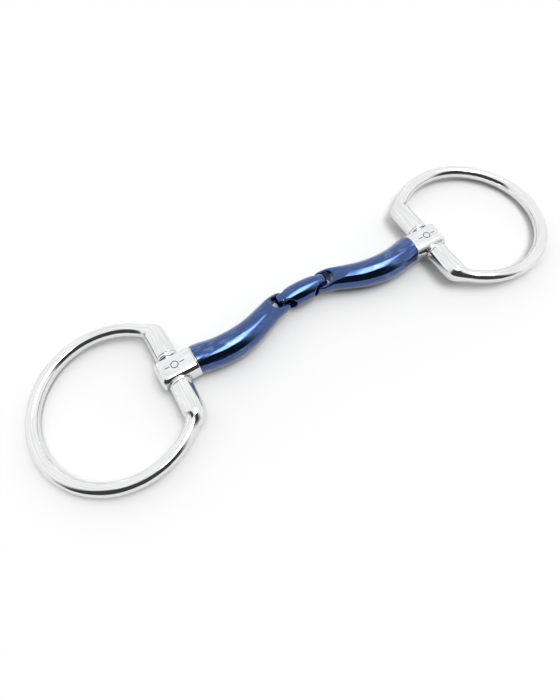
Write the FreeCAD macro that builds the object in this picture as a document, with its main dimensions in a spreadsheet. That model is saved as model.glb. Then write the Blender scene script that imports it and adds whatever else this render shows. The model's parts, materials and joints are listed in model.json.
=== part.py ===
import FreeCAD, Part
import math
import os

from FreeCAD import Placement, Rotation, Vector

# Double-jointed eggbutt snaffle bit, in millimetres.
# The origin is the middle of the bit on the surface that it lies on. +X runs along the
# mouthpiece to the right ring, +Y across it and +Z up.

doc = FreeCAD.newDocument("snaffle_bit")
X_AXIS = Vector(1, 0, 0)
Y_AXIS = Vector(0, 1, 0)
Z_AXIS = Vector(0, 0, 1)

SIZES = [
    # the mouthpiece between the bars of the two cheek rings
    ("bar_span", 135.0, "distance between the axes of the two ring bars"),
    ("bar_height", 6.8, "height of the ring bars' axes above the table"),
    # cheek rings
    ("loop_radius", 35.0, "ring loop, radius of its centre line"),
    ("loop_offset", 27.7, "from the bar's axis out to the centre of the loop"),
    ("wire_radius", 3.0, "ring loop, radius of its round section"),
    ("bar_radius", 4.9, "ring bar beside the sleeve, radius"),
    ("bar_gap", 6.15, "from the middle of the bit to the inner end of each bar stub"),
    ("bar_straight", 17.0, "from the middle of the bit to the end of the straight bar"),
    ("bar_bevel", 0.5, "bevel round the inner end of each bar stub"),
    ("loop_sweep", 254.0, "angle that the loop's plain round wire goes through"),
    ("corner_pull", 2.2, "how tightly the wire turns from the bar into the loop, 1 is a parabola"),
    # hinge pins pressed in the rings' bars
    ("pin_radius", 3.5, "hinge pin, radius"),
    ("pin_half", 15.0, "hinge pin, half its length"),
    # butt sleeves
    ("sleeve_radius", 6.8, "butt sleeve, radius of its barrel"),
    ("sleeve_inner", 10.35, "from the bar's axis to the joint between sleeve and cannon"),
    ("sleeve_nose", 7.2, "radius of the sleeve's rounded outer end"),
    ("sleeve_round", 8.9, "radius of the ball that trims the corners of the outer end"),
    ("sleeve_flat", 5.4, "from the sleeve's axis to each of its flats"),
    ("flat_end", 9.6, "from the bar's axis to the inner end of the flats"),
    ("bore_radius", 3.55, "bore for the hinge pin, a running fit"),
    ("face_half", 6.0, "half the width across the faces that the bar stubs run against"),
    ("face_radius", 5.5, "radius of those faces"),
    # cannons
    ("spigot_radius", 4.0, "spigot of the cannon in the sleeve"),
    ("spigot_length", 5.0, "length of the spigot"),
    ("cannon_radius", 6.75, "cannon beside the sleeve, radius"),
    ("eye_radius", 5.4, "cannon at its eye, radius"),
    ("taper_start", 24.0, "from the bar's axis to where the cannon begins to taper"),
    ("taper_end", 55.0, "from the bar's axis to where the taper ends"),
    ("dip_radius", 17.0, "radius of the cannon's first bend, to -Y"),
    ("dip_angle", 13.5, "slope of the cannon after its first bend"),
    ("rise_radius", 46.0, "radius of the long bend to +Y"),
    ("rise_angle", 21.5, "steepest slope of the cannon"),
    ("rise_length", 8.1, "length of the straight after the long bend"),
    ("crest_radius", 20.0, "radius of the bend back towards the link"),
    ("eye_slope", 8.0, "slope of the cannon at its eye"),
    ("hinge_run", 5.4, "from the end of the last bend to the cross bar's axis"),
    ("crossbar_radius", 1.4, "cross bar that closes the cannon's eye, radius"),
    ("eye_length", 8.2, "from the cross bar's axis to the far end of the eye"),
    ("eye_half_width", 3.25, "half the width of the eye"),
    ("eye_nose", 5.4, "radius of the rounded outline of the eye's tip"),
    ("cheek_length", 11.0, "length over which the cannon thins towards the cross bar"),
    # centre link
    ("link_half", 13.2, "centre link, half its length"),
    ("link_radius", 5.2, "centre link at the middle, radius"),
    ("link_end_radius", 4.45, "centre link beside its ends, radius"),
    ("link_tip", 3.2, "rounding of the link's ends"),
    ("link_rim", 2.7, "thickness of the link's end rims"),
    ("link_hole_radius", 2.85, "hole through each end of the link, radius"),
    ("link_tongue", 2.45, "half the thickness of the link's two end tongues"),
    ("scoop_radius", 3.4, "radius of the hollows beside the tongues"),
]

sheet = doc.addObject("Spreadsheet::Sheet", "Sizes")
for row, (alias, value, meaning) in enumerate(SIZES, start=1):
    sheet.set("A%d" % row, alias)
    sheet.set("B%d" % row, str(value))
    sheet.set("C%d" % row, meaning)
    sheet.setAlias("B%d" % row, alias)
doc.recompute()


def size(alias):
    return float(sheet.get(alias))


def add(kind, name, **bindings):
    """A document object whose properties are bound to the sheet.

    In an expression, a dollar sign stands for the sheet's name.
    """
    made = doc.addObject(kind, name)
    for prop, text in bindings.items():
        made.setExpression(prop, text.replace("$", "Sizes."))
    return made


def place(made, base=Vector(0, 0, 0), rotation=Rotation()):
    made.Placement = Placement(base, rotation)
    return made


def boolean(kind, name, *shapes):
    """A fusion or a common part of several objects, or the first one less the rest."""
    if kind == "Part::Cut":
        tool = shapes[1]
        if len(shapes) > 2:
            tool = boolean("Part::MultiFuse", name + "_tools", *shapes[1:])
        made = doc.addObject(kind, name)
        made.Base = shapes[0]
        made.Tool = tool
        return made
    made = doc.addObject(kind, name)
    made.Shapes = list(shapes)
    return made


def loft(name, stations, seam):
    """A solid through circles: each station is a centre, a direction and a radius's expression.

    The seam is a direction across every circle, so that the solid isn't twisted.
    """
    circles = []
    for number, (centre, direction, radius) in enumerate(stations):
        circle = add("Part::Circle", "%s_section_%d" % (name, number), Radius=radius)
        place(circle, centre, Rotation(seam, direction.cross(seam), direction, "ZXY"))
        circles.append(circle)
    made = doc.addObject("Part::Loft", name)
    made.Sections = circles
    made.Solid = True
    made.Ruled = False
    return made


def prism(name, edges, direction, depth):
    """A closed outline of edges, extruded to both sides of its plane."""
    outline = doc.addObject("Part::Feature", name + "_outline")
    outline.Shape = Part.Face(Part.Wire(edges))
    made = doc.addObject("Part::Extrusion", name)
    made.Base = outline
    made.Dir = direction
    made.DirMode = "Custom"
    made.LengthFwd = depth
    made.Symmetric = True
    made.Solid = True
    return made


def smooth_step(fraction):
    fraction = min(max(fraction, 0.0), 1.0)
    return fraction * fraction * (3.0 - 2.0 * fraction)


def blend(first, last, share):
    """The expression that goes from one sheet value to another."""
    return "$%s + ($%s - $%s) * %.6f" % (first, last, first, share)


# ---------------------------------------------------------------------------------------
# The cannon's centre line, in its own frame: the bar's axis is the origin and +X points
# along the mouthpiece to the middle of the bit. The cannon curves in the plane of the rings
# and bows to +Y, or to -Y of its own frame on the right side, which is turned half round.


def cannon_path():
    """The stretches of the centre line: start, slope at the start and end, radius, length."""
    dip = -math.radians(size("dip_angle"))
    rise = math.radians(size("rise_angle"))
    eye = math.radians(size("eye_slope"))
    return [
        (0.0, dip, -size("dip_radius") * dip),
        (dip, rise, size("rise_radius") * (rise - dip)),
        (rise, rise, size("rise_length")),
        (rise, eye, size("crest_radius") * (rise - eye)),
        (eye, eye, size("hinge_run") + size("crossbar_radius")),
    ]


def cannon_point(travel, bow=1):
    """Centre and slope of the centre line, a length of travel along it from the sleeve."""
    along = size("sleeve_inner")
    shift = 0.0
    for first, last, length in cannon_path():
        part = min(travel, length)
        slope = first + (last - first) * part / length
        mean = (first + slope) / 2.0
        half = (slope - first) / 2.0
        chord = part if half == 0.0 else part * math.sin(half) / half
        along += chord * math.cos(mean)
        shift += chord * math.sin(mean)
        travel -= part
        if travel <= 0.0:
            break
    return Vector(along, bow * shift, 0), bow * slope


CANNON_LENGTH = sum(length for first, last, length in cannon_path())
HINGE_POINT, HINGE_SLOPE = cannon_point(CANNON_LENGTH - size("crossbar_radius"))
CANNON_STATIONS = 19
LARGE = 30.0


def make_cannon(side):
    bow = 1 if side == "left" else -1
    hinge, hinge_slope = cannon_point(CANNON_LENGTH - size("crossbar_radius"), bow)
    stations = []
    for number in range(CANNON_STATIONS):
        travel = CANNON_LENGTH * number / (CANNON_STATIONS - 1)
        centre, slope = cannon_point(travel, bow)
        direction = Vector(math.cos(slope), math.sin(slope), 0)
        span = size("taper_end") - size("taper_start")
        share = smooth_step((centre.x - size("taper_start")) / span)
        stations.append((centre, direction, blend("cannon_radius", "eye_radius", share)))
    stem = loft(side + "_stem", stations, Z_AXIS)

    # The tip's own frame: the cross bar's axis is its origin, +X points out of the cannon.
    turn = Rotation(Z_AXIS, math.degrees(hinge_slope))

    # side outline: thins in a straight taper to the cross bar's round nose
    nose = size("crossbar_radius")
    back = size("cheek_length")
    thick = size("eye_radius")
    # the taper's faces are tangent to the round nose
    reach = math.hypot(back, thick)
    lean = math.atan2(thick, back) - math.asin(nose / reach)
    touch = Vector(nose * math.sin(lean), 0, nose * math.cos(lean))
    top = [Vector(-LARGE * 2, 0, LARGE), Vector(-back, 0, LARGE), Vector(-back, 0, thick), touch]
    bottom = [Vector(p.x, 0, -p.z) for p in reversed(top)]
    edges = [Part.makeLine(a, b) for a, b in zip(top, top[1:])]
    edges.append(Part.Arc(top[-1], Vector(nose, 0, 0), bottom[0]).toShape())
    edges += [Part.makeLine(a, b) for a, b in zip(bottom, bottom[1:])]
    edges.append(Part.makeLine(bottom[-1], top[0]))
    side_limit = prism(side + "_tip_side", edges, Y_AXIS, 2 * LARGE)
    place(side_limit, hinge, turn)

    # plan outline: a round nose
    wide = size("eye_nose")
    centre_back = wide - nose
    edges = [
        Part.Arc(Vector(-centre_back, -wide, 0), Vector(nose, 0, 0),
                 Vector(-centre_back, wide, 0)).toShape(),
        Part.makeLine(Vector(-centre_back, wide, 0), Vector(-centre_back, LARGE, 0)),
        Part.makeLine(Vector(-centre_back, LARGE, 0), Vector(-LARGE * 2, LARGE, 0)),
        Part.makeLine(Vector(-LARGE * 2, LARGE, 0), Vector(-LARGE * 2, -LARGE, 0)),
        Part.makeLine(Vector(-LARGE * 2, -LARGE, 0), Vector(-centre_back, -LARGE, 0)),
        Part.makeLine(Vector(-centre_back, -LARGE, 0), Vector(-centre_back, -wide, 0)),
    ]
    plan_limit = prism(side + "_tip_plan", edges, Z_AXIS, 2 * LARGE)
    place(plan_limit, hinge, turn)
    body = boolean("Part::MultiCommon", side + "_body", stem, side_limit, plan_limit)

    # the eye: a slot with round ends that leaves the cross bar standing
    slot = size("eye_half_width")
    far = slot - size("eye_length")
    edges = [
        Part.Arc(Vector(far, slot, 0), Vector(far - slot, 0, 0), Vector(far, -slot, 0)).toShape(),
        Part.makeLine(Vector(far, -slot, 0), Vector(0, -slot, 0)),
        Part.makeLine(Vector(0, -slot, 0), Vector(0, slot, 0)),
        Part.makeLine(Vector(0, slot, 0), Vector(far, slot, 0)),
    ]
    slot_prism = prism(side + "_slot", edges, Z_AXIS, 2 * LARGE)
    place(slot_prism, hinge, turn)
    crossbar = add("Part::Cylinder", side + "_crossbar", Radius="$crossbar_radius",
                   Height="2 * $eye_nose")
    across = turn.multVec(Y_AXIS)
    place(crossbar, hinge - across * size("eye_nose"), Rotation(Z_AXIS, across))
    cutter = boolean("Part::Cut", side + "_slot_cutter", slot_prism, crossbar)

    spigot = add("Part::Cylinder", side + "_spigot", Radius="$spigot_radius",
                 Height="$spigot_length")
    spigot_start = Vector(size("sleeve_inner") - size("spigot_length"), 0, 0)
    place(spigot, spigot_start, Rotation(Z_AXIS, X_AXIS))
    opened = boolean("Part::Cut", side + "_opened", body, cutter)
    return boolean("Part::MultiFuse", side + "_cannon", opened, spigot)


def make_sleeve(side):
    barrel = add("Part::Cylinder", side + "_barrel", Radius="$sleeve_radius",
                 Height="$sleeve_inner + $sleeve_nose")
    place(barrel, Vector(-size("sleeve_nose"), 0, 0), Rotation(Z_AXIS, X_AXIS))

    # the outer end is round about the bar, with its corners trimmed by a ball
    nose = add("Part::Cylinder", side + "_nose", Radius="$sleeve_nose", Height="4 * $sleeve_nose")
    place(nose, Vector(0, -2 * size("sleeve_nose"), 0), Rotation(Z_AXIS, Y_AXIS))
    ball = add("Part::Sphere", side + "_ball", Radius="$sleeve_round")
    rounded = boolean("Part::MultiCommon", side + "_rounded", nose, ball)
    inner = add("Part::Box", side + "_inner", Length="$sleeve_inner", Width="4 * $sleeve_nose",
                Height="4 * $sleeve_nose")
    place(inner, Vector(0, -2 * size("sleeve_nose"), -2 * size("sleeve_nose")))
    envelope = boolean("Part::MultiFuse", side + "_envelope", rounded, inner)
    blank = boolean("Part::MultiCommon", side + "_blank", barrel, envelope)

    tools = []
    for sign, word in ((1, "top"), (-1, "bottom")):
        flat = add("Part::Box", "%s_%s_flat" % (side, word),
                   Length="$flat_end + 2 * $sleeve_nose", Width="4 * $sleeve_nose",
                   Height="$sleeve_nose")
        low = size("sleeve_flat") if sign > 0 else -size("sleeve_flat") - size("sleeve_nose")
        place(flat, Vector(-2 * size("sleeve_nose"), -2 * size("sleeve_nose"), low))
        tools.append(flat)
    for sign, word in ((1, "far"), (-1, "near")):
        face = add("Part::Cylinder", "%s_%s_face" % (side, word), Radius="$face_radius",
                   Height="$sleeve_radius")
        start = Vector(0, sign * size("face_half"), 0)
        place(face, start, Rotation(Z_AXIS, Y_AXIS * sign))
        tools.append(face)
    bore = add("Part::Cylinder", side + "_bore", Radius="$bore_radius",
               Height="4 * $sleeve_radius")
    place(bore, Vector(0, -2 * size("sleeve_radius"), 0), Rotation(Z_AXIS, Y_AXIS))
    tools.append(bore)
    socket = add("Part::Cylinder", side + "_socket", Radius="$spigot_radius",
                 Height="2 * $spigot_length")
    socket_start = Vector(size("sleeve_inner") - size("spigot_length"), 0, 0)
    place(socket, socket_start, Rotation(Z_AXIS, X_AXIS))
    tools.append(socket)
    return boolean("Part::Cut", side + "_sleeve", blank, *tools)


# ---------------------------------------------------------------------------------------
# The ring's own frame: the bar's axis is Y and +X points away from the mouthpiece.

CORNER_STATIONS = 13
CORNER_THICK = 0.25  # the bend keeps the bar's thickness over this share of its length


def corner_point(fraction, sign):
    """Centre and direction of the bend that joins the bar to the loop, a conic."""
    half = math.radians(size("loop_sweep") / 2.0)
    radius = size("loop_radius")
    start = Vector(0, size("bar_straight"), 0)
    end = Vector(size("loop_offset") + radius * math.cos(half), radius * math.sin(half), 0)
    knee = Vector(0, end.y + end.x * math.cos(half) / math.sin(half), 0)
    rest = 1.0 - fraction
    pull = size("corner_pull")
    weight = rest ** 2 + 2.0 * pull * rest * fraction + fraction ** 2
    centre = start * rest ** 2 + knee * (2.0 * pull * rest * fraction) + end * fraction ** 2
    centre = centre * (1.0 / weight)
    direction = ((knee - start) * (pull * rest ** 2) + (end - start) * (rest * fraction)
                 + (end - knee) * (pull * fraction ** 2))
    return Vector(centre.x, sign * centre.y, 0), Vector(direction.x, sign * direction.y, 0)


def make_ring(side):
    shapes = []
    wire = add("Part::Torus", side + "_loop", Radius1="$loop_radius", Radius2="$wire_radius",
               Angle3="$loop_sweep")
    turn = Rotation(Z_AXIS, -size("loop_sweep") / 2.0)
    place(wire, Vector(size("loop_offset"), 0, 0), turn)
    shapes.append(wire)
    sockets = []
    for sign, word in ((1, "far"), (-1, "near")):
        name = "%s_%s" % (side, word)
        stations = []
        for number in range(CORNER_STATIONS):
            fraction = number / (CORNER_STATIONS - 1.0)
            centre, direction = corner_point(fraction, sign)
            share = smooth_step((fraction - CORNER_THICK) / (1.0 - CORNER_THICK))
            radius = blend("bar_radius", "wire_radius", share)
            stations.append((centre, direction, radius))
        shapes.append(loft(name + "_corner", stations, Z_AXIS))
        outwards = Rotation(Z_AXIS, Y_AXIS * sign)
        stub = add("Part::Cylinder", name + "_stub", Radius="$bar_radius",
                   Height="$bar_straight - $bar_gap - $bar_bevel")
        place(stub, Vector(0, sign * (size("bar_gap") + size("bar_bevel")), 0), outwards)
        shapes.append(stub)
        bevel = add("Part::Cone", name + "_bevel", Radius1="$bar_radius - $bar_bevel",
                    Radius2="$bar_radius", Height="$bar_bevel")
        place(bevel, Vector(0, sign * size("bar_gap"), 0), outwards)
        shapes.append(bevel)
        socket = add("Part::Cylinder", name + "_pin_socket", Radius="$pin_radius",
                     Height="$pin_half")
        place(socket, Vector(0, 0, 0), outwards)
        sockets.append(socket)
    solid = boolean("Part::MultiFuse", side + "_forging", *shapes)
    return boolean("Part::Cut", side + "_ring", solid, *sockets)


def make_pin(side):
    pin = add("Part::Cylinder", side + "_pin", Radius="$pin_radius", Height="2 * $pin_half")
    return place(pin, Vector(0, -size("pin_half"), 0), Rotation(Z_AXIS, Y_AXIS))


# ---------------------------------------------------------------------------------------
# The centre link, in its own frame: its axis is X and its middle is the origin.


def make_link():
    half = size("link_half")
    tip = size("link_tip")
    end = size("link_end_radius")
    shoulder = half - tip
    flat_tip = end - tip
    middle = Part.Arc(Vector(-shoulder, 0, end), Vector(0, 0, size("link_radius")),
                      Vector(shoulder, 0, end))
    diagonal = tip * math.sqrt(0.5)
    right = Part.Arc(Vector(shoulder, 0, end),
                     Vector(shoulder + diagonal, 0, flat_tip + diagonal),
                     Vector(half, 0, flat_tip))
    left = Part.Arc(Vector(-half, 0, flat_tip),
                    Vector(-shoulder - diagonal, 0, flat_tip + diagonal),
                    Vector(-shoulder, 0, end))
    edges = [
        left.toShape(),
        middle.toShape(),
        right.toShape(),
        Part.makeLine(Vector(half, 0, flat_tip), Vector(half, 0, 0)),
        Part.makeLine(Vector(half, 0, 0), Vector(-half, 0, 0)),
        Part.makeLine(Vector(-half, 0, 0), Vector(-half, 0, flat_tip)),
    ]
    outline = doc.addObject("Part::Feature", "link_outline")
    outline.Shape = Part.Face(Part.Wire(edges))
    barrel = doc.addObject("Part::Revolution", "link_barrel")
    barrel.Source = outline
    barrel.Axis = X_AXIS
    barrel.Angle = 360.0
    barrel.Solid = False

    hinge = size("bar_span") / 2.0 - HINGE_POINT.x
    tools = []
    for end_sign, end_word in ((-1, "left"), (1, "right")):
        hole = add("Part::Cylinder", "link_%s_hole" % end_word, Radius="$link_hole_radius",
                   Height="4 * $link_radius")
        hole_centre = half - size("link_rim") - size("link_hole_radius")
        place(hole, Vector(end_sign * hole_centre, -2 * size("link_radius"), 0),
              Rotation(Z_AXIS, Y_AXIS))
        tools.append(hole)
        for sign, word in ((1, "far"), (-1, "near")):
            name = "link_%s_%s" % (end_word, word)
            scoop = add("Part::Cylinder", name + "_scoop", Radius="$scoop_radius",
                        Height="$link_radius")
            start = Vector(end_sign * hinge, sign * size("link_tongue"), 0)
            place(scoop, start, Rotation(Z_AXIS, Y_AXIS * sign))
            tools.append(scoop)
            # clears the tongue from the hinge's axis out to the tip
            clear = add("Part::Box", name + "_clear", Length="2 * $link_half",
                        Width="$link_radius", Height="4 * $link_radius")
            low_x = hinge if end_sign > 0 else -hinge - 2 * half
            low_y = size("link_tongue") if sign > 0 else -size("link_tongue") - size("link_radius")
            place(clear, Vector(low_x, low_y, -2 * size("link_radius")))
            tools.append(clear)
    return boolean("Part::Cut", "center_link", barrel, *tools)


# ---------------------------------------------------------------------------------------
# Put together

half_span = size("bar_span") / 2.0
ring_reach = size("loop_offset") + size("loop_radius")
ring_tilt = math.degrees(math.asin((size("bar_height") - size("wire_radius")) / ring_reach))

sub_parts = {}
for side, sign, arm_turn, ring_turn in (("left", -1, 0, 180), ("right", 1, 180, 0)):
    bar_centre = Vector(sign * half_span, 0, size("bar_height"))
    arm_place = Placement(bar_centre, Rotation(Z_AXIS, arm_turn))
    lean = Rotation(Z_AXIS, ring_turn).multiply(Rotation(Y_AXIS, ring_tilt))
    ring_place = Placement(bar_centre, lean)
    for kind, maker, placement in (
        ("cannon", make_cannon, arm_place),
        ("butt_sleeve", make_sleeve, arm_place),
        ("cheek_ring", make_ring, ring_place),
        ("hinge_pin", make_pin, ring_place),
    ):
        made = maker(side)
        made.Placement = placement.multiply(made.Placement)
        made.Label = "%s_%s" % (side, kind)
        sub_parts[made.Label] = made
link = make_link()
link.Placement = Placement(Vector(0, HINGE_POINT.y, size("bar_height")), Rotation())
link.Label = "center_link"
sub_parts[link.Label] = link

doc.recompute()
for item in doc.Objects:
    failed = [word for word in item.State if word in ("Invalid", "Error")]
    if failed:
        raise RuntimeError("%s did not compute: %s" % (item.Name, failed))
for label, item in sub_parts.items():
    shape = item.Shape
    if shape.isNull() or not shape.isValid() or len(shape.Solids) != 1:
        raise RuntimeError("%s has no valid single solid" % label)

os.makedirs("parts", exist_ok=True)
for label, item in sub_parts.items():
    item.Shape.exportStep("parts/%s.step" % label)
    box = item.Shape.BoundBox
    print("%-18s volume %8.1f  x %7.2f..%7.2f  y %6.2f..%6.2f  z %5.2f..%5.2f" % (
        label, item.Shape.Volume, box.XMin, box.XMax, box.YMin, box.YMax, box.ZMin, box.ZMax))
print("hinge point from the bar: %.4f %.4f, slope %.3f degrees" % (
    HINGE_POINT.x, HINGE_POINT.y, math.degrees(HINGE_SLOPE)))
print("ring tilt %.4f degrees" % ring_tilt)
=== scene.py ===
import itertools
import json
import math

import bpy
import numpy as np
from mathutils import Matrix, Vector


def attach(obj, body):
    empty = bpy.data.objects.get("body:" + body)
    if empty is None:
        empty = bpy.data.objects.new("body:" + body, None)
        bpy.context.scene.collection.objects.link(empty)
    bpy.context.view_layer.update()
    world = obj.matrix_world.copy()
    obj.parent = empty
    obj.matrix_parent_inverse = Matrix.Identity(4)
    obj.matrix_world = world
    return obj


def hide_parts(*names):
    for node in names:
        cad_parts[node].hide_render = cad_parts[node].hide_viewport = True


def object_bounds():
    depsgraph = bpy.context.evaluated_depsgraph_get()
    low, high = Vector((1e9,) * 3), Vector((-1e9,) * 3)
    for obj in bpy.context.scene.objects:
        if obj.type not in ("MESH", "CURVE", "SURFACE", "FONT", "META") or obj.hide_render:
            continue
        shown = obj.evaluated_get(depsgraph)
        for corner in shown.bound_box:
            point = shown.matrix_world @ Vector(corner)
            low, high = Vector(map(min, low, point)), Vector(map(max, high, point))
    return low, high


# Looks of a double-jointed snaffle bit. The forged and turned pieces are rounded solids:
# each is a distance function of x, y and z in millimetres, negative inside, which is turned
# into a fine quad mesh with exact normals. The rings are sweeps.

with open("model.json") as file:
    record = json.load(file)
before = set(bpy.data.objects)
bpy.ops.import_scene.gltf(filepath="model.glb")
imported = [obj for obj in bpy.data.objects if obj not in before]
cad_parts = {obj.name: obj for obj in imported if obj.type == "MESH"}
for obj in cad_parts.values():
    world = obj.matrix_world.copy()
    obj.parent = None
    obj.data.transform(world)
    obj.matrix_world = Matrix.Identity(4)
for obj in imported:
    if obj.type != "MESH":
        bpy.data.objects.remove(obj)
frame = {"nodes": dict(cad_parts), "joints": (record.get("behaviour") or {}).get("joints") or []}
cad_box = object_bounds()

MM = 0.001
SIDES = {"left": -1, "right": 1}
JOINTS = {joint["name"]: joint for joint in frame["joints"]}
BARS = {side: Vector(JOINTS[side + "_ring_swing"]["pos_m"]) for side in SIDES}
HINGES = {side: Vector(JOINTS[side + "_fold"]["pos_m"]) for side in SIDES}

# Sizes in millimetres. An arm's frame has the bar's axis as its origin and +X to the middle.
SLEEVE_RADIUS = 6.8
SLEEVE_INNER = 10.35
SLEEVE_NOSE = 7.2
SLEEVE_ROUND = 8.9
SLEEVE_FLAT = 5.4
FLAT_END = 9.6
BORE_RADIUS = 3.55
FACE_HALF = 6.0
FACE_RADIUS = 5.5
SPIGOT_RADIUS = 4.0
SPIGOT_LENGTH = 5.0
CANNON_RADIUS = 6.75
EYE_RADIUS = 5.4
TAPER_START = 24.0
TAPER_END = 55.0
DIP_RADIUS = 17.0
DIP_ANGLE = math.radians(13.5)
RISE_RADIUS = 46.0
RISE_ANGLE = math.radians(21.5)
RISE_LENGTH = 8.1
CREST_RADIUS = 20.0
EYE_SLOPE = math.radians(8.0)
HINGE_RUN = 5.4
CROSSBAR_RADIUS = 1.4
EYE_LENGTH = 8.2
EYE_HALF_WIDTH = 3.25
EYE_NOSE = 5.4
CHEEK_LENGTH = 11.0
LINK_HALF = 13.2
LINK_RADIUS = 5.2
LINK_END_RADIUS = 4.45
LINK_TIP = 3.2
LINK_RIM = 2.7
LINK_HOLE_RADIUS = 2.85
LINK_TONGUE = 2.45
SCOOP_RADIUS = 3.4
LOOP_RADIUS = 35.0
LOOP_OFFSET = 27.7
LOOP_HALF_SWEEP = math.radians(127.0)
WIRE_RADIUS = 3.0
BAR_RADIUS = 4.9
BAR_GAP = 6.15
BAR_STRAIGHT = 17.0
BAR_BEVEL = 0.5
GROOVE_MIDDLE = 1.35
GROOVE_HALF = 0.3
GROOVE_DEPTH = 0.28
# shares of the groove's half width and of its depth, from one edge to the other
GROOVE_PROFILE = [(-1.0, 0.0), (-0.8, 0.3), (-0.5, 0.8), (0.0, 1.0), (0.5, 0.8), (0.8, 0.3), (1.0, 0.0)]
PAST_GROOVE = 0.3
CORNER_PULL = 2.2
CORNER_THICK = 0.25
CORNER_STATIONS = 37
LOOP_STATIONS = 181
ROUND = 56
PIN_RADIUS = 3.5
PIN_HALF = 15.0
INLAY_RING = 1.7
INLAY_LINE = 0.35
INLAY_BAR = 2.2
INLAY_SPACE = 0.6
INLAY_SHIFT = 1.5
INLAY_PROUD = 0.02
GRID_STEP = 0.25


# ---------------------------------------------------------------------------------------
# Distance functions


def smooth_max(first, second, soft):
    """The larger of two distances, which rounds the edge where they meet."""
    near = np.maximum(soft - np.abs(first - second), 0.0) / soft
    return np.maximum(first, second) + near * near * soft / 4.0


def smooth_min(first, second, soft):
    return -smooth_max(-first, -second, soft)


def smooth_step(fraction):
    fraction = np.clip(fraction, 0.0, 1.0)
    return fraction * fraction * (3.0 - 2.0 * fraction)


def cannon_stretches():
    """The cannon's centre line in plan: start, slope at the start and at the end, and length."""
    plan = [
        (0.0, -DIP_ANGLE, DIP_RADIUS * DIP_ANGLE),
        (-DIP_ANGLE, RISE_ANGLE, RISE_RADIUS * (RISE_ANGLE + DIP_ANGLE)),
        (RISE_ANGLE, RISE_ANGLE, RISE_LENGTH),
        (RISE_ANGLE, EYE_SLOPE, CREST_RADIUS * (RISE_ANGLE - EYE_SLOPE)),
        (EYE_SLOPE, EYE_SLOPE, HINGE_RUN),
    ]
    x, y = SLEEVE_INNER, 0.0
    stretches = []
    for first, last, length in plan:
        stretches.append((x, y, first, last, length))
        mean, half = (first + last) / 2.0, (last - first) / 2.0
        chord = length * math.sin(half) / half if half else length
        x += chord * math.cos(mean)
        y += chord * math.sin(mean)
    return stretches, (x, y)


STRETCHES, (EYE_X, EYE_Y) = cannon_stretches()


def beside_centre_line(x, y):
    """Distance to the left of the cannon's centre line, and the x of the nearest point on it."""
    beside = foot = None
    for x0, y0, first, last, length in reversed(STRETCHES):
        if first == last:
            slope = first
            share = ((x - x0) * math.cos(slope) + (y - y0) * math.sin(slope)) / length
            away = (y - y0) * math.cos(slope) - (x - x0) * math.sin(slope)
        else:
            bend = 1.0 if last > first else -1.0
            radius = length / abs(last - first)
            dx = x - (x0 - bend * radius * math.sin(first))
            dy = y - (y0 + bend * radius * math.cos(first))
            slope = np.arctan2(bend * dx, -bend * dy)
            share = (slope - first) / (last - first)
            away = bend * (radius - np.hypot(dx, dy))
        near = x + away * np.sin(slope)
        beside = away if beside is None else np.where(share < 1.0, away, beside)
        foot = near if foot is None else np.where(share < 1.0, near, foot)
    return beside, foot


def cannon_shape(x, y, z):
    beside, foot = beside_centre_line(x, y)
    share = smooth_step((foot - TAPER_START) / (TAPER_END - TAPER_START))
    stem = np.hypot(beside, z) - (CANNON_RADIUS + (EYE_RADIUS - CANNON_RADIUS) * share)
    stem = smooth_max(stem, SLEEVE_INNER - x, 0.25)

    # the tip's own frame: the cross bar is its origin, u points out of the cannon, v across
    u = (x - EYE_X) * math.cos(EYE_SLOPE) + (y - EYE_Y) * math.sin(EYE_SLOPE)
    v = (y - EYE_Y) * math.cos(EYE_SLOPE) - (x - EYE_X) * math.sin(EYE_SLOPE)
    reach = math.hypot(CHEEK_LENGTH, EYE_RADIUS)
    lean = math.atan2(EYE_RADIUS, CHEEK_LENGTH) - math.asin(CROSSBAR_RADIUS / reach)
    taper = u * math.sin(lean) + np.abs(z) * math.cos(lean) - CROSSBAR_RADIUS
    beyond = u * math.cos(lean) - np.abs(z) * math.sin(lean) > 0.0
    crossbar = np.hypot(u, z) - CROSSBAR_RADIUS
    side = np.where(beyond, crossbar, taper)
    back = u + EYE_NOSE - CROSSBAR_RADIUS
    plan = np.hypot(np.maximum(back, 0.0), v) - EYE_NOSE + 0.3 * np.minimum(back, 0.0)
    body = smooth_max(smooth_max(stem, side, 1.2), plan, 0.9)

    slot = np.hypot(np.minimum(u + EYE_LENGTH - EYE_HALF_WIDTH, 0.0), v) - EYE_HALF_WIDTH
    open_eye = smooth_min(-slot, crossbar, 0.4)
    body = smooth_max(body, open_eye, 0.6)
    spigot = np.maximum(np.hypot(y, z) - SPIGOT_RADIUS,
                        np.abs(x - SLEEVE_INNER) - SPIGOT_LENGTH)
    return np.minimum(body, spigot)


def sleeve_shape(x, y, z):
    barrel = np.hypot(y, z) - SLEEVE_RADIUS
    about_bar = np.hypot(x, z)
    nose = np.where(x < 0.0, about_bar, np.abs(z)) - SLEEVE_NOSE
    ball = np.sqrt(np.minimum(x, 0.0) ** 2 + y * y + z * z) - SLEEVE_ROUND
    body = smooth_max(smooth_max(barrel, nose, 1.2), ball, 1.2)
    flats = np.abs(z) - SLEEVE_FLAT - 2.0 * np.maximum(x - FLAT_END, 0.0)
    body = smooth_max(body, flats, 1.1)
    body = smooth_max(body, x - SLEEVE_INNER, 0.15)
    face = np.maximum(FACE_HALF - np.abs(y), about_bar - FACE_RADIUS)
    body = smooth_max(body, -face, 0.2)
    body = smooth_max(body, BORE_RADIUS - about_bar, 0.2)
    socket = np.maximum(np.hypot(y, z) - SPIGOT_RADIUS, SLEEVE_INNER - SPIGOT_LENGTH - x)
    return np.maximum(body, -socket)


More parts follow.
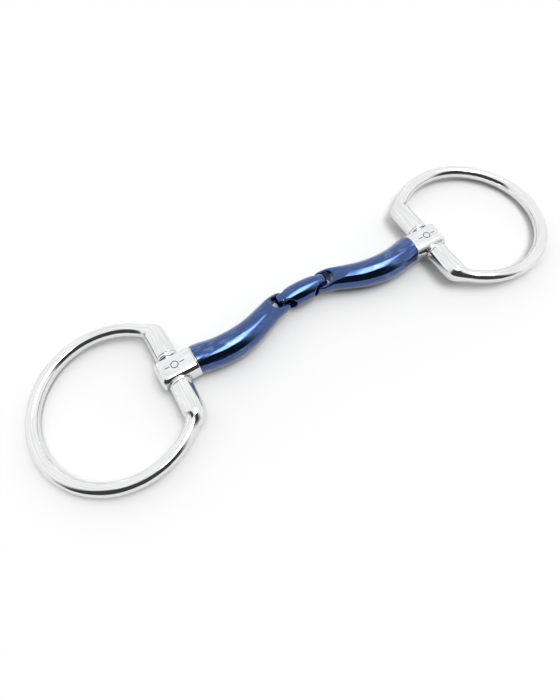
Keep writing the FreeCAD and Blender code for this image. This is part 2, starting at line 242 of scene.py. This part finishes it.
def link_shape(x, y, z):
    along = np.abs(x)
    radius = np.hypot(y, z)
    shoulder = LINK_HALF - LINK_TIP
    sag = LINK_RADIUS - LINK_END_RADIUS
    bulge = (shoulder ** 2 + sag ** 2) / (2.0 * sag)
    barrel = np.hypot(x, radius + bulge - LINK_RADIUS) - bulge
    past = along - shoulder
    tip = np.hypot(np.maximum(past, 0.0), np.maximum(radius - LINK_END_RADIUS + LINK_TIP, 0.0))
    body = smooth_max(barrel, tip - LINK_TIP + np.minimum(past, 0.0), 0.8)
    hole = np.hypot(along - (LINK_HALF - LINK_RIM - LINK_HOLE_RADIUS), z) - LINK_HOLE_RADIUS
    body = smooth_max(body, -hole, 0.9)
    hinge = HINGES["right"].x / MM
    beside = LINK_TONGUE - np.abs(y)
    scoop = np.minimum(np.hypot(along - hinge, z) - SCOOP_RADIUS, hinge - along)
    return smooth_max(body, -smooth_max(scoop, beside, 0.8), 0.5)


# ---------------------------------------------------------------------------------------
# Meshes


def gradient(shape, points):
    """The distance at each point, and the direction in which it grows."""
    small = 0.01
    slope = np.empty_like(points)
    for axis in range(3):
        shift = np.zeros(3)
        shift[axis] = small
        slope[:, axis] = shape(*(points + shift).T) - shape(*(points - shift).T)
    return shape(*points.T), slope / (2.0 * small)


def surface_of(shape, low, high):
    """Corners, quads and normals of the surface where a distance function is zero."""
    low = np.array(low, float)
    counts = np.ceil((np.array(high) - low) / GRID_STEP).astype(int) + 1
    axes = [low[a] + GRID_STEP * np.arange(counts[a]) for a in range(3)]
    values = shape(*np.meshgrid(*axes, indexing="ij"))
    inside = values < 0.0
    cells = counts - 1

    def corner(grid, offset):
        return grid[tuple(slice(o, o + n) for o, n in zip(offset, cells))]

    corners = list(itertools.product((0, 1), repeat=3))
    filled = sum(corner(inside, c).astype(int) for c in corners)
    active = (filled > 0) & (filled < 8)
    spots = np.argwhere(active)
    number = np.full(active.shape, -1)
    number[active] = np.arange(len(spots))

    # each corner of the mesh starts at the mean of its cell's crossings
    total = np.zeros((len(spots), 3))
    crossings = np.zeros(len(spots))
    for first, second in itertools.combinations(corners, 2):
        step = np.array(second) - np.array(first)
        if abs(step).sum() != 1:
            continue
        one = corner(values, first)[active]
        two = corner(values, second)[active]
        crossed = (one < 0.0) != (two < 0.0)
        share = np.where(crossed, one / np.where(crossed, one - two, 1.0), 0.0)
        total += crossed[:, None] * (np.array(first) + share[:, None] * step)
        crossings += crossed
    points = low + (spots + total / crossings[:, None]) * GRID_STEP
    for _ in range(3):
        distance, slope = gradient(shape, points)
        steep = np.maximum((slope * slope).sum(axis=1), 0.25)
        points -= slope * (distance / steep)[:, None]
    slope = gradient(shape, points)[1]
    normals = slope / np.linalg.norm(slope, axis=1)[:, None]

    quads = []
    for axis in range(3):
        e = np.eye(3, dtype=int)
        u, v = e[(axis + 1) % 3], e[(axis + 2) % 3]
        ends = [slice(None)] * 3
        starts = [slice(None)] * 3
        starts[axis], ends[axis] = slice(0, -1), slice(1, None)
        begin, end = inside[tuple(starts)], inside[tuple(ends)]
        edges = np.argwhere(begin != end)
        outward = begin[tuple(edges.T)]
        ring = [number[tuple((edges - o).T)] for o in (u + v, v, 0 * u, u)]
        quad = np.stack(ring, axis=1)
        quads.append(np.where(outward[:, None], quad, quad[:, ::-1]))
    return points, np.concatenate(quads), normals


def make_piece(name, points, faces, normals, placement, material):
    """A mesh object from points in millimetres in a local frame that placement puts in place."""
    matrix = np.array(placement)
    world = points * MM @ matrix[:3, :3].T + matrix[:3, 3]
    mesh = bpy.data.meshes.new(name)
    mesh.from_pydata(world.tolist(), [], faces if isinstance(faces, list) else faces.tolist())
    mesh.shade_smooth()
    if normals is not None:
        turned = normals @ matrix[:3, :3].T
        mesh.normals_split_custom_set_from_vertices(turned.tolist())
    mesh.materials.append(material)
    piece = bpy.data.objects.new(name, mesh)
    bpy.context.scene.collection.objects.link(piece)
    return piece


# ---------------------------------------------------------------------------------------
# Rings, in their own frame: the bar's axis is Y and +X points away from the mouthpiece


def ring_half():
    """Stations from inside the pin's socket to the loop: centre, direction, radius."""
    stations = []
    ahead = np.array([0.0, 1.0])
    for y, radius in (
        (PIN_HALF, 0.0),
        (PIN_HALF, PIN_RADIUS),
        (BAR_GAP, PIN_RADIUS),
        (BAR_GAP, BAR_RADIUS - BAR_BEVEL),
        (BAR_GAP + 0.15 * BAR_BEVEL, BAR_RADIUS - 0.6 * BAR_BEVEL),
        (BAR_GAP + 0.5 * BAR_BEVEL, BAR_RADIUS - 0.2 * BAR_BEVEL),
        (BAR_GAP + BAR_BEVEL, BAR_RADIUS),
    ):
        stations.append((np.array([0.0, y]), ahead, radius))
    straight = BAR_STRAIGHT - BAR_GAP - BAR_BEVEL
    for travel, depth in GROOVE_PROFILE:
        y = BAR_GAP + GROOVE_MIDDLE + travel * GROOVE_HALF
        stations.append((np.array([0.0, y]), ahead, BAR_RADIUS - depth * GROOVE_DEPTH))
    for share in np.linspace(PAST_GROOVE, 1.0, 7)[:-1]:
        y = BAR_GAP + BAR_BEVEL + straight * share
        stations.append((np.array([0.0, y]), ahead, BAR_RADIUS))
    start = np.array([0.0, BAR_STRAIGHT])
    end = LOOP_RADIUS * np.array([math.cos(LOOP_HALF_SWEEP), math.sin(LOOP_HALF_SWEEP)])
    end[0] += LOOP_OFFSET
    knee = np.array([0.0, end[1] + end[0] / math.tan(LOOP_HALF_SWEEP)])
    for share in np.linspace(0.0, 1.0, CORNER_STATIONS):
        rest = 1.0 - share
        pull = CORNER_PULL
        weight = rest ** 2 + 2.0 * pull * rest * share + share ** 2
        centre = (start * rest ** 2 + knee * 2.0 * pull * rest * share + end * share ** 2) / weight
        direction = ((knee - start) * pull * rest ** 2 + (end - start) * rest * share
                     + (end - knee) * pull * share ** 2)
        thin = smooth_step((share - CORNER_THICK) / (1.0 - CORNER_THICK))
        radius = BAR_RADIUS + (WIRE_RADIUS - BAR_RADIUS) * thin
        stations.append((centre, direction / np.linalg.norm(direction), radius))
    return stations


def ring_stations():
    half = ring_half()
    stations = list(half)
    for angle in np.linspace(LOOP_HALF_SWEEP, -LOOP_HALF_SWEEP, LOOP_STATIONS)[1:-1]:
        out = np.array([math.cos(angle), math.sin(angle)])
        centre = LOOP_RADIUS * out + np.array([LOOP_OFFSET, 0.0])
        stations.append((centre, np.array([out[1], -out[0]]), WIRE_RADIUS))
    mirror = np.array([1.0, -1.0])
    for centre, direction, radius in reversed(half):
        stations.append((centre * mirror, -direction * mirror, radius))
    return stations


def make_ring(side, material):
    stations = ring_stations()
    turn = np.linspace(0.0, 2.0 * math.pi, ROUND, endpoint=False)
    points = []
    for centre, direction, radius in stations:
        across = np.array([direction[1], -direction[0]])
        flat = centre + radius * np.cos(turn)[:, None] * across
        points.append(np.column_stack([flat, radius * np.sin(turn)]))
    points = np.concatenate(points)
    faces = []
    for row in range(len(stations) - 1):
        for column in range(ROUND):
            after = (column + 1) % ROUND
            quad = (row * ROUND + column, row * ROUND + after,
                    (row + 1) * ROUND + after, (row + 1) * ROUND + column)
            faces.append(quad[::-1])
    tilt = math.asin((BARS[side].z / MM - WIRE_RADIUS) / (LOOP_OFFSET + LOOP_RADIUS))
    yaw = 0.0 if side == "right" else math.pi
    placement = (Matrix.Translation(BARS[side]) @ Matrix.Rotation(yaw, 4, "Z")
                 @ Matrix.Rotation(tilt, 4, "Y"))
    piece = make_piece(side + "_ring_forging", points, faces, None, placement, material)
    layer = piece.data.uv_layers.new(name="Grain")
    gaps = [np.linalg.norm(b[0] - a[0]) for a, b in zip(stations, stations[1:])]
    travel = np.cumsum([0.0] + gaps)
    around = 2.0 * math.pi * WIRE_RADIUS / ROUND
    grain = []
    for row in range(len(stations) - 1):
        for column in range(ROUND):
            grain += [(travel[row + 1], column * around), (travel[row + 1], (column + 1) * around),
                      (travel[row], (column + 1) * around), (travel[row], column * around)]
    layer.data.foreach_set("uv", (np.array(grain) * MM).ravel())
    piece.data.set_sharp_from_angle(angle=math.radians(50.0))
    return piece


# ---------------------------------------------------------------------------------------
# Materials


class Nodes:
    """Adds shader nodes to a material or world with few words."""

    def __init__(self, owner):
        owner.use_nodes = True
        self.tree = owner.node_tree
        self.tree.nodes.clear()

    def add(self, kind, inputs=None, **settings):
        made = self.tree.nodes.new("ShaderNode" + kind)
        for name, value in settings.items():
            setattr(made, name, value)
        for key, value in (inputs or {}).items():
            socket = made.inputs[key]
            if isinstance(value, bpy.types.NodeSocket):
                self.tree.links.new(value, socket)
            else:
                socket.default_value = value
        return made

    def math(self, operation, first, second=0.0):
        made = self.add("Math", {0: first, 1: second}, operation=operation)
        return made.outputs[0]

    def step(self, value, start, end, low=0.0, high=1.0):
        made = self.add("MapRange", {"Value": value, "From Min": start, "From Max": end,
                                     "To Min": low, "To Max": high},
                        interpolation_type="SMOOTHSTEP")
        return made.outputs["Result"]

    def noise(self, place, stretch, scale, detail=3.0):
        moved = self.add("Mapping", {"Vector": place, "Scale": stretch}).outputs[0]
        made = self.add("TexNoise", {"Vector": moved, "Scale": scale, "Detail": detail})
        return made.outputs["Fac"]


def steel_material(name, lines_from):
    """Mirror-polished stainless steel with fine lines that its last polish left."""
    material = bpy.data.materials.new(name)
    make = Nodes(material)
    if lines_from == "Grain":
        place = make.add("UVMap", uv_map="Grain").outputs[0]
        stretch = (60.0, 2600.0, 1.0)
    else:
        place = make.add("TexCoord").outputs["Object"]
        stretch = (120.0, 2200.0, 2200.0)
    solid = make.add("TexCoord").outputs["Object"]
    lines = make.noise(place, stretch, 1.0, 2.0)
    smudge = make.noise(solid, (1.0, 1.0, 1.0), 90.0, 4.0)
    rough = make.math("ADD", make.step(smudge, 0.35, 0.75, 0.05, 0.11),
                      make.step(lines, 0.5, 0.8, 0.0, 0.05))
    tint = make.add("Mix", {0: make.step(lines, 0.35, 0.65), 6: (0.70, 0.705, 0.71, 1.0),
                            7: (0.82, 0.82, 0.83, 1.0)},
                    data_type="RGBA").outputs[2]
    bump = make.add("Bump", {"Strength": 0.06, "Distance": 0.0002, "Height": lines})
    shader = make.add("BsdfPrincipled", {"Base Color": tint, "Metallic": 1.0, "Roughness": rough,
                                         "Normal": bump.outputs[0]})
    make.add("OutputMaterial", {"Surface": shader.outputs[0]})
    return material


def blued_material():
    """Polished metal with a thin blue oxide, mottled where it was held while it was coloured."""
    material = bpy.data.materials.new("blued_metal_polished")
    make = Nodes(material)
    place = make.add("TexCoord").outputs["Object"]
    cloud = make.noise(place, (0.5, 1.0, 1.0), 160.0, 3.0)
    streak = make.noise(place, (0.22, 1.0, 1.0), 900.0, 4.0)
    along = make.add("SeparateXYZ", {0: place}).outputs[0]
    outer = make.step(make.math("ABSOLUTE", along), 0.020, 0.050, 0.25, 1.0)
    speck = make.math("MULTIPLY", make.step(streak, 0.50, 0.62), outer)
    deep = make.add("Mix", {0: cloud, 6: (0.004, 0.040, 0.165, 1.0), 7: (0.012, 0.060, 0.235, 1.0)},
                    data_type="RGBA").outputs[2]
    colour = make.add("Mix", {0: make.math("MULTIPLY", speck, 0.5), 6: deep,
                              7: (0.12, 0.22, 0.42, 1.0)}, data_type="RGBA").outputs[2]
    rough = make.math("ADD", make.step(cloud, 0.3, 0.8, 0.08, 0.13),
                      make.math("MULTIPLY", speck, 0.12))
    bump = make.add("Bump", {"Strength": 0.12, "Distance": 0.0001, "Height": streak})
    shader = make.add("BsdfPrincipled", {
        "Base Color": colour, "Metallic": 1.0, "Roughness": rough, "Coat Weight": 1.0,
        "Coat IOR": 1.55, "Coat Roughness": 0.06, "Normal": bump.outputs[0]})
    make.add("OutputMaterial", {"Surface": shader.outputs[0]})
    return material


def inlay_material():
    material = bpy.data.materials.new("inlay_dark")
    make = Nodes(material)
    shader = make.add("BsdfPrincipled", {"Base Color": (0.03, 0.03, 0.032, 1.0), "Roughness": 0.7,
                                         "Specular IOR Level": 0.1})
    make.add("OutputMaterial", {"Surface": shader.outputs[0]})
    return material


def floor_material():
    material = bpy.data.materials.new("white_floor")
    make = Nodes(material)
    shader = make.add("BsdfDiffuse", {"Color": (0.74, 0.74, 0.74, 1.0)})
    make.add("OutputMaterial", {"Surface": shader.outputs[0]})
    return material


# ---------------------------------------------------------------------------------------
# Camera and light

VIEW_AZIMUTH = math.radians(-27.26)
VIEW_ELEVATION = math.radians(63.13)
VIEW_ROLL = 0.059
VIEW_DISTANCE = 0.2135
VIEW_TARGET = Vector((-0.02192, -0.01148, 0.0))
LENS = 24.35


def make_camera():
    back = Vector((math.sin(VIEW_AZIMUTH) * math.cos(VIEW_ELEVATION),
                   -math.cos(VIEW_AZIMUTH) * math.cos(VIEW_ELEVATION),
                   math.sin(VIEW_ELEVATION)))
    right = Vector((math.cos(VIEW_AZIMUTH), math.sin(VIEW_AZIMUTH), 0.0))
    up = back.cross(right)
    x_axis = right * math.cos(VIEW_ROLL) - up * math.sin(VIEW_ROLL)
    y_axis = right * math.sin(VIEW_ROLL) + up * math.cos(VIEW_ROLL)
    data = bpy.data.cameras.new("camera")
    data.lens = LENS
    data.clip_start = 0.01
    camera = bpy.data.objects.new("camera", data)
    bpy.context.scene.collection.objects.link(camera)
    camera.matrix_world = (Matrix.Translation(VIEW_TARGET + back * VIEW_DISTANCE)
                           @ Matrix((x_axis, y_axis, back)).transposed().to_4x4())
    bpy.context.scene.camera = camera


# Brightness of the tent's panel, walls and opening, and of the walls where the camera sees them
SOFTBOX = 8.5
WALL = 1.05
DARK = 0.055
SEEN_WALL = 1.2

# Where each part fades in or out. The panel's back and front are degrees of lean from overhead
# towards the camera, and its sides are the sideways part of a unit direction. The opening has
# degrees above the floor, and degrees to either side of the camera.
PANEL_BACK = (-23.0, -8.0)
PANEL_FRONT = (27.0, 29.0)
PANEL_LEFT = (0.06, 0.22)
PANEL_RIGHT = (0.40, 0.58)
OPENING_LOW = (-8.0, -4.0)
OPENING_HIGH = (58.0, 61.0)
OPENING_SIDE = (50.0, 75.0)


def make_world():
    """A white tent: a bright panel overhead, and a dark opening at the front."""
    world = bpy.data.worlds.new("studio")
    bpy.context.scene.world = world
    make = Nodes(world)
    place = make.add("TexCoord").outputs["Generated"]
    front = Vector((math.sin(VIEW_AZIMUTH), -math.cos(VIEW_AZIMUTH), 0.0))
    side = Vector((math.cos(VIEW_AZIMUTH), math.sin(VIEW_AZIMUTH), 0.0))
    ahead = make.add("VectorMath", {0: place, 1: front}, operation="DOT_PRODUCT").outputs["Value"]
    beside = make.add("VectorMath", {0: place, 1: side}, operation="DOT_PRODUCT").outputs["Value"]
    up = make.add("SeparateXYZ", {0: place}).outputs[2]
    lean = make.math("ARCTAN2", ahead, up)
    swing = make.math("ARCTAN2", make.math("ABSOLUTE", beside), ahead)
    height = make.math("ARCSINE", up)

    def edge(value, span, low=0.0, high=1.0):
        start, end = (math.radians(angle) for angle in span)
        return make.step(value, start, end, low, high)

    panel = make.math("MULTIPLY", edge(lean, PANEL_BACK), edge(lean, PANEL_FRONT, 1.0, 0.0))
    panel = make.math("MULTIPLY", panel, make.step(beside, *PANEL_LEFT))
    panel = make.math("MULTIPLY", panel, make.step(beside, *PANEL_RIGHT, 1.0, 0.0))
    dark = make.math("MULTIPLY", edge(height, OPENING_LOW), edge(height, OPENING_HIGH, 1.0, 0.0))
    dark = make.math("MULTIPLY", dark, edge(swing, OPENING_SIDE, 1.0, 0.0))
    level = make.math("ADD", WALL, make.math("MULTIPLY", panel, SOFTBOX - WALL))
    keep = make.math("SUBTRACT", 1.0, dark)
    level = make.math("ADD", make.math("MULTIPLY", level, keep), DARK)
    seen = make.add("LightPath").outputs["Is Camera Ray"]
    shown = make.add("Mix", {0: seen, 2: level, 3: SEEN_WALL}, data_type="FLOAT").outputs[0]
    background = make.add("Background", {"Color": (1.0, 1.0, 1.0, 1.0), "Strength": shown})
    make.add("OutputWorld", {"Surface": background.outputs[0]})


def make_floor():
    mesh = bpy.data.meshes.new("floor")
    far = 3.0
    mesh.from_pydata([(-far, -far, 0.0), (far, -far, 0.0), (far, far, 0.0), (-far, far, 0.0)],
                     [], [(0, 1, 2, 3)])
    mesh.materials.append(floor_material())
    floor = bpy.data.objects.new("floor", mesh)
    floor.location.z = cad_box[0].z
    bpy.context.scene.collection.objects.link(floor)


# ---------------------------------------------------------------------------------------
# Put together


def make_inlay(side, material):
    """A plain mark let into the sleeve's top flat: a ring between two short bars."""
    points = []
    around = np.linspace(0.0, 2.0 * math.pi, 49)
    for angle in around:
        for radius in (INLAY_RING - INLAY_LINE, INLAY_RING):
            points.append((radius * math.cos(angle), radius * math.sin(angle), 0.0))
    faces = [(2 * n, 2 * n + 1, 2 * n + 3, 2 * n + 2) for n in range(len(around) - 1)]
    for way in (-1, 1):
        first = len(points)
        start = INLAY_RING + INLAY_SPACE
        for x in (start, start + INLAY_BAR):
            for y in (-INLAY_LINE / 2.0, INLAY_LINE / 2.0):
                points.append((way * x, way * y, 0.0))
        faces.append((first, first + 2, first + 3, first + 1))
    across = SIDES[side] * -INLAY_SHIFT
    place = BARS[side] + Vector((across, 0.0, SLEEVE_FLAT + INLAY_PROUD)) * MM
    return make_piece(side + "_sleeve_inlay", np.array(points), faces, None,
                      Matrix.Translation(place), material)


def finish_piece(piece, body, node):
    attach(piece, body)
    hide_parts(node)


def main():
    bpy.context.scene.view_settings.view_transform = "Standard"
    make_camera()
    make_world()
    make_floor()
    steel = steel_material("steel_turned", "Object")
    wire_steel = steel_material("steel_forged", "Grain")
    blued = blued_material()
    inlay = inlay_material()

    cannon = surface_of(cannon_shape, (4.8, -10.5, -7.5), (62.5, 13.5, 7.5))
    sleeve = surface_of(sleeve_shape, (-7.9, -7.5, -7.5), (11.1, 7.5, 7.5))
    link = surface_of(link_shape, (-13.8, -6.0, -6.0), (13.8, 6.0, 6.0))
    for side in SIDES:
        yaw = 0.0 if side == "left" else math.pi
        placement = Matrix.Translation(BARS[side]) @ Matrix.Rotation(yaw, 4, "Y")
        piece = make_piece(side + "_cannon_forging", *cannon, placement, blued)
        finish_piece(piece, side + "_arm", side + "_cannon")
        piece = make_piece(side + "_sleeve_turned", *sleeve, placement, steel)
        finish_piece(piece, side + "_arm", side + "_butt_sleeve")
        piece = make_inlay(side, inlay)
        finish_piece(piece, side + "_arm", side + "_butt_sleeve")
        piece = make_ring(side, wire_steel)
        finish_piece(piece, side + "_cheek", side + "_cheek_ring")
        frame["nodes"][side + "_hinge_pin"].material_slots[0].material = steel
    placement = Matrix.Translation(Vector((0.0, HINGES["left"].y, HINGES["left"].z)))
    piece = make_piece("center_link_forging", *link, placement, blued)
    finish_piece(piece, "link", "center_link")


main()
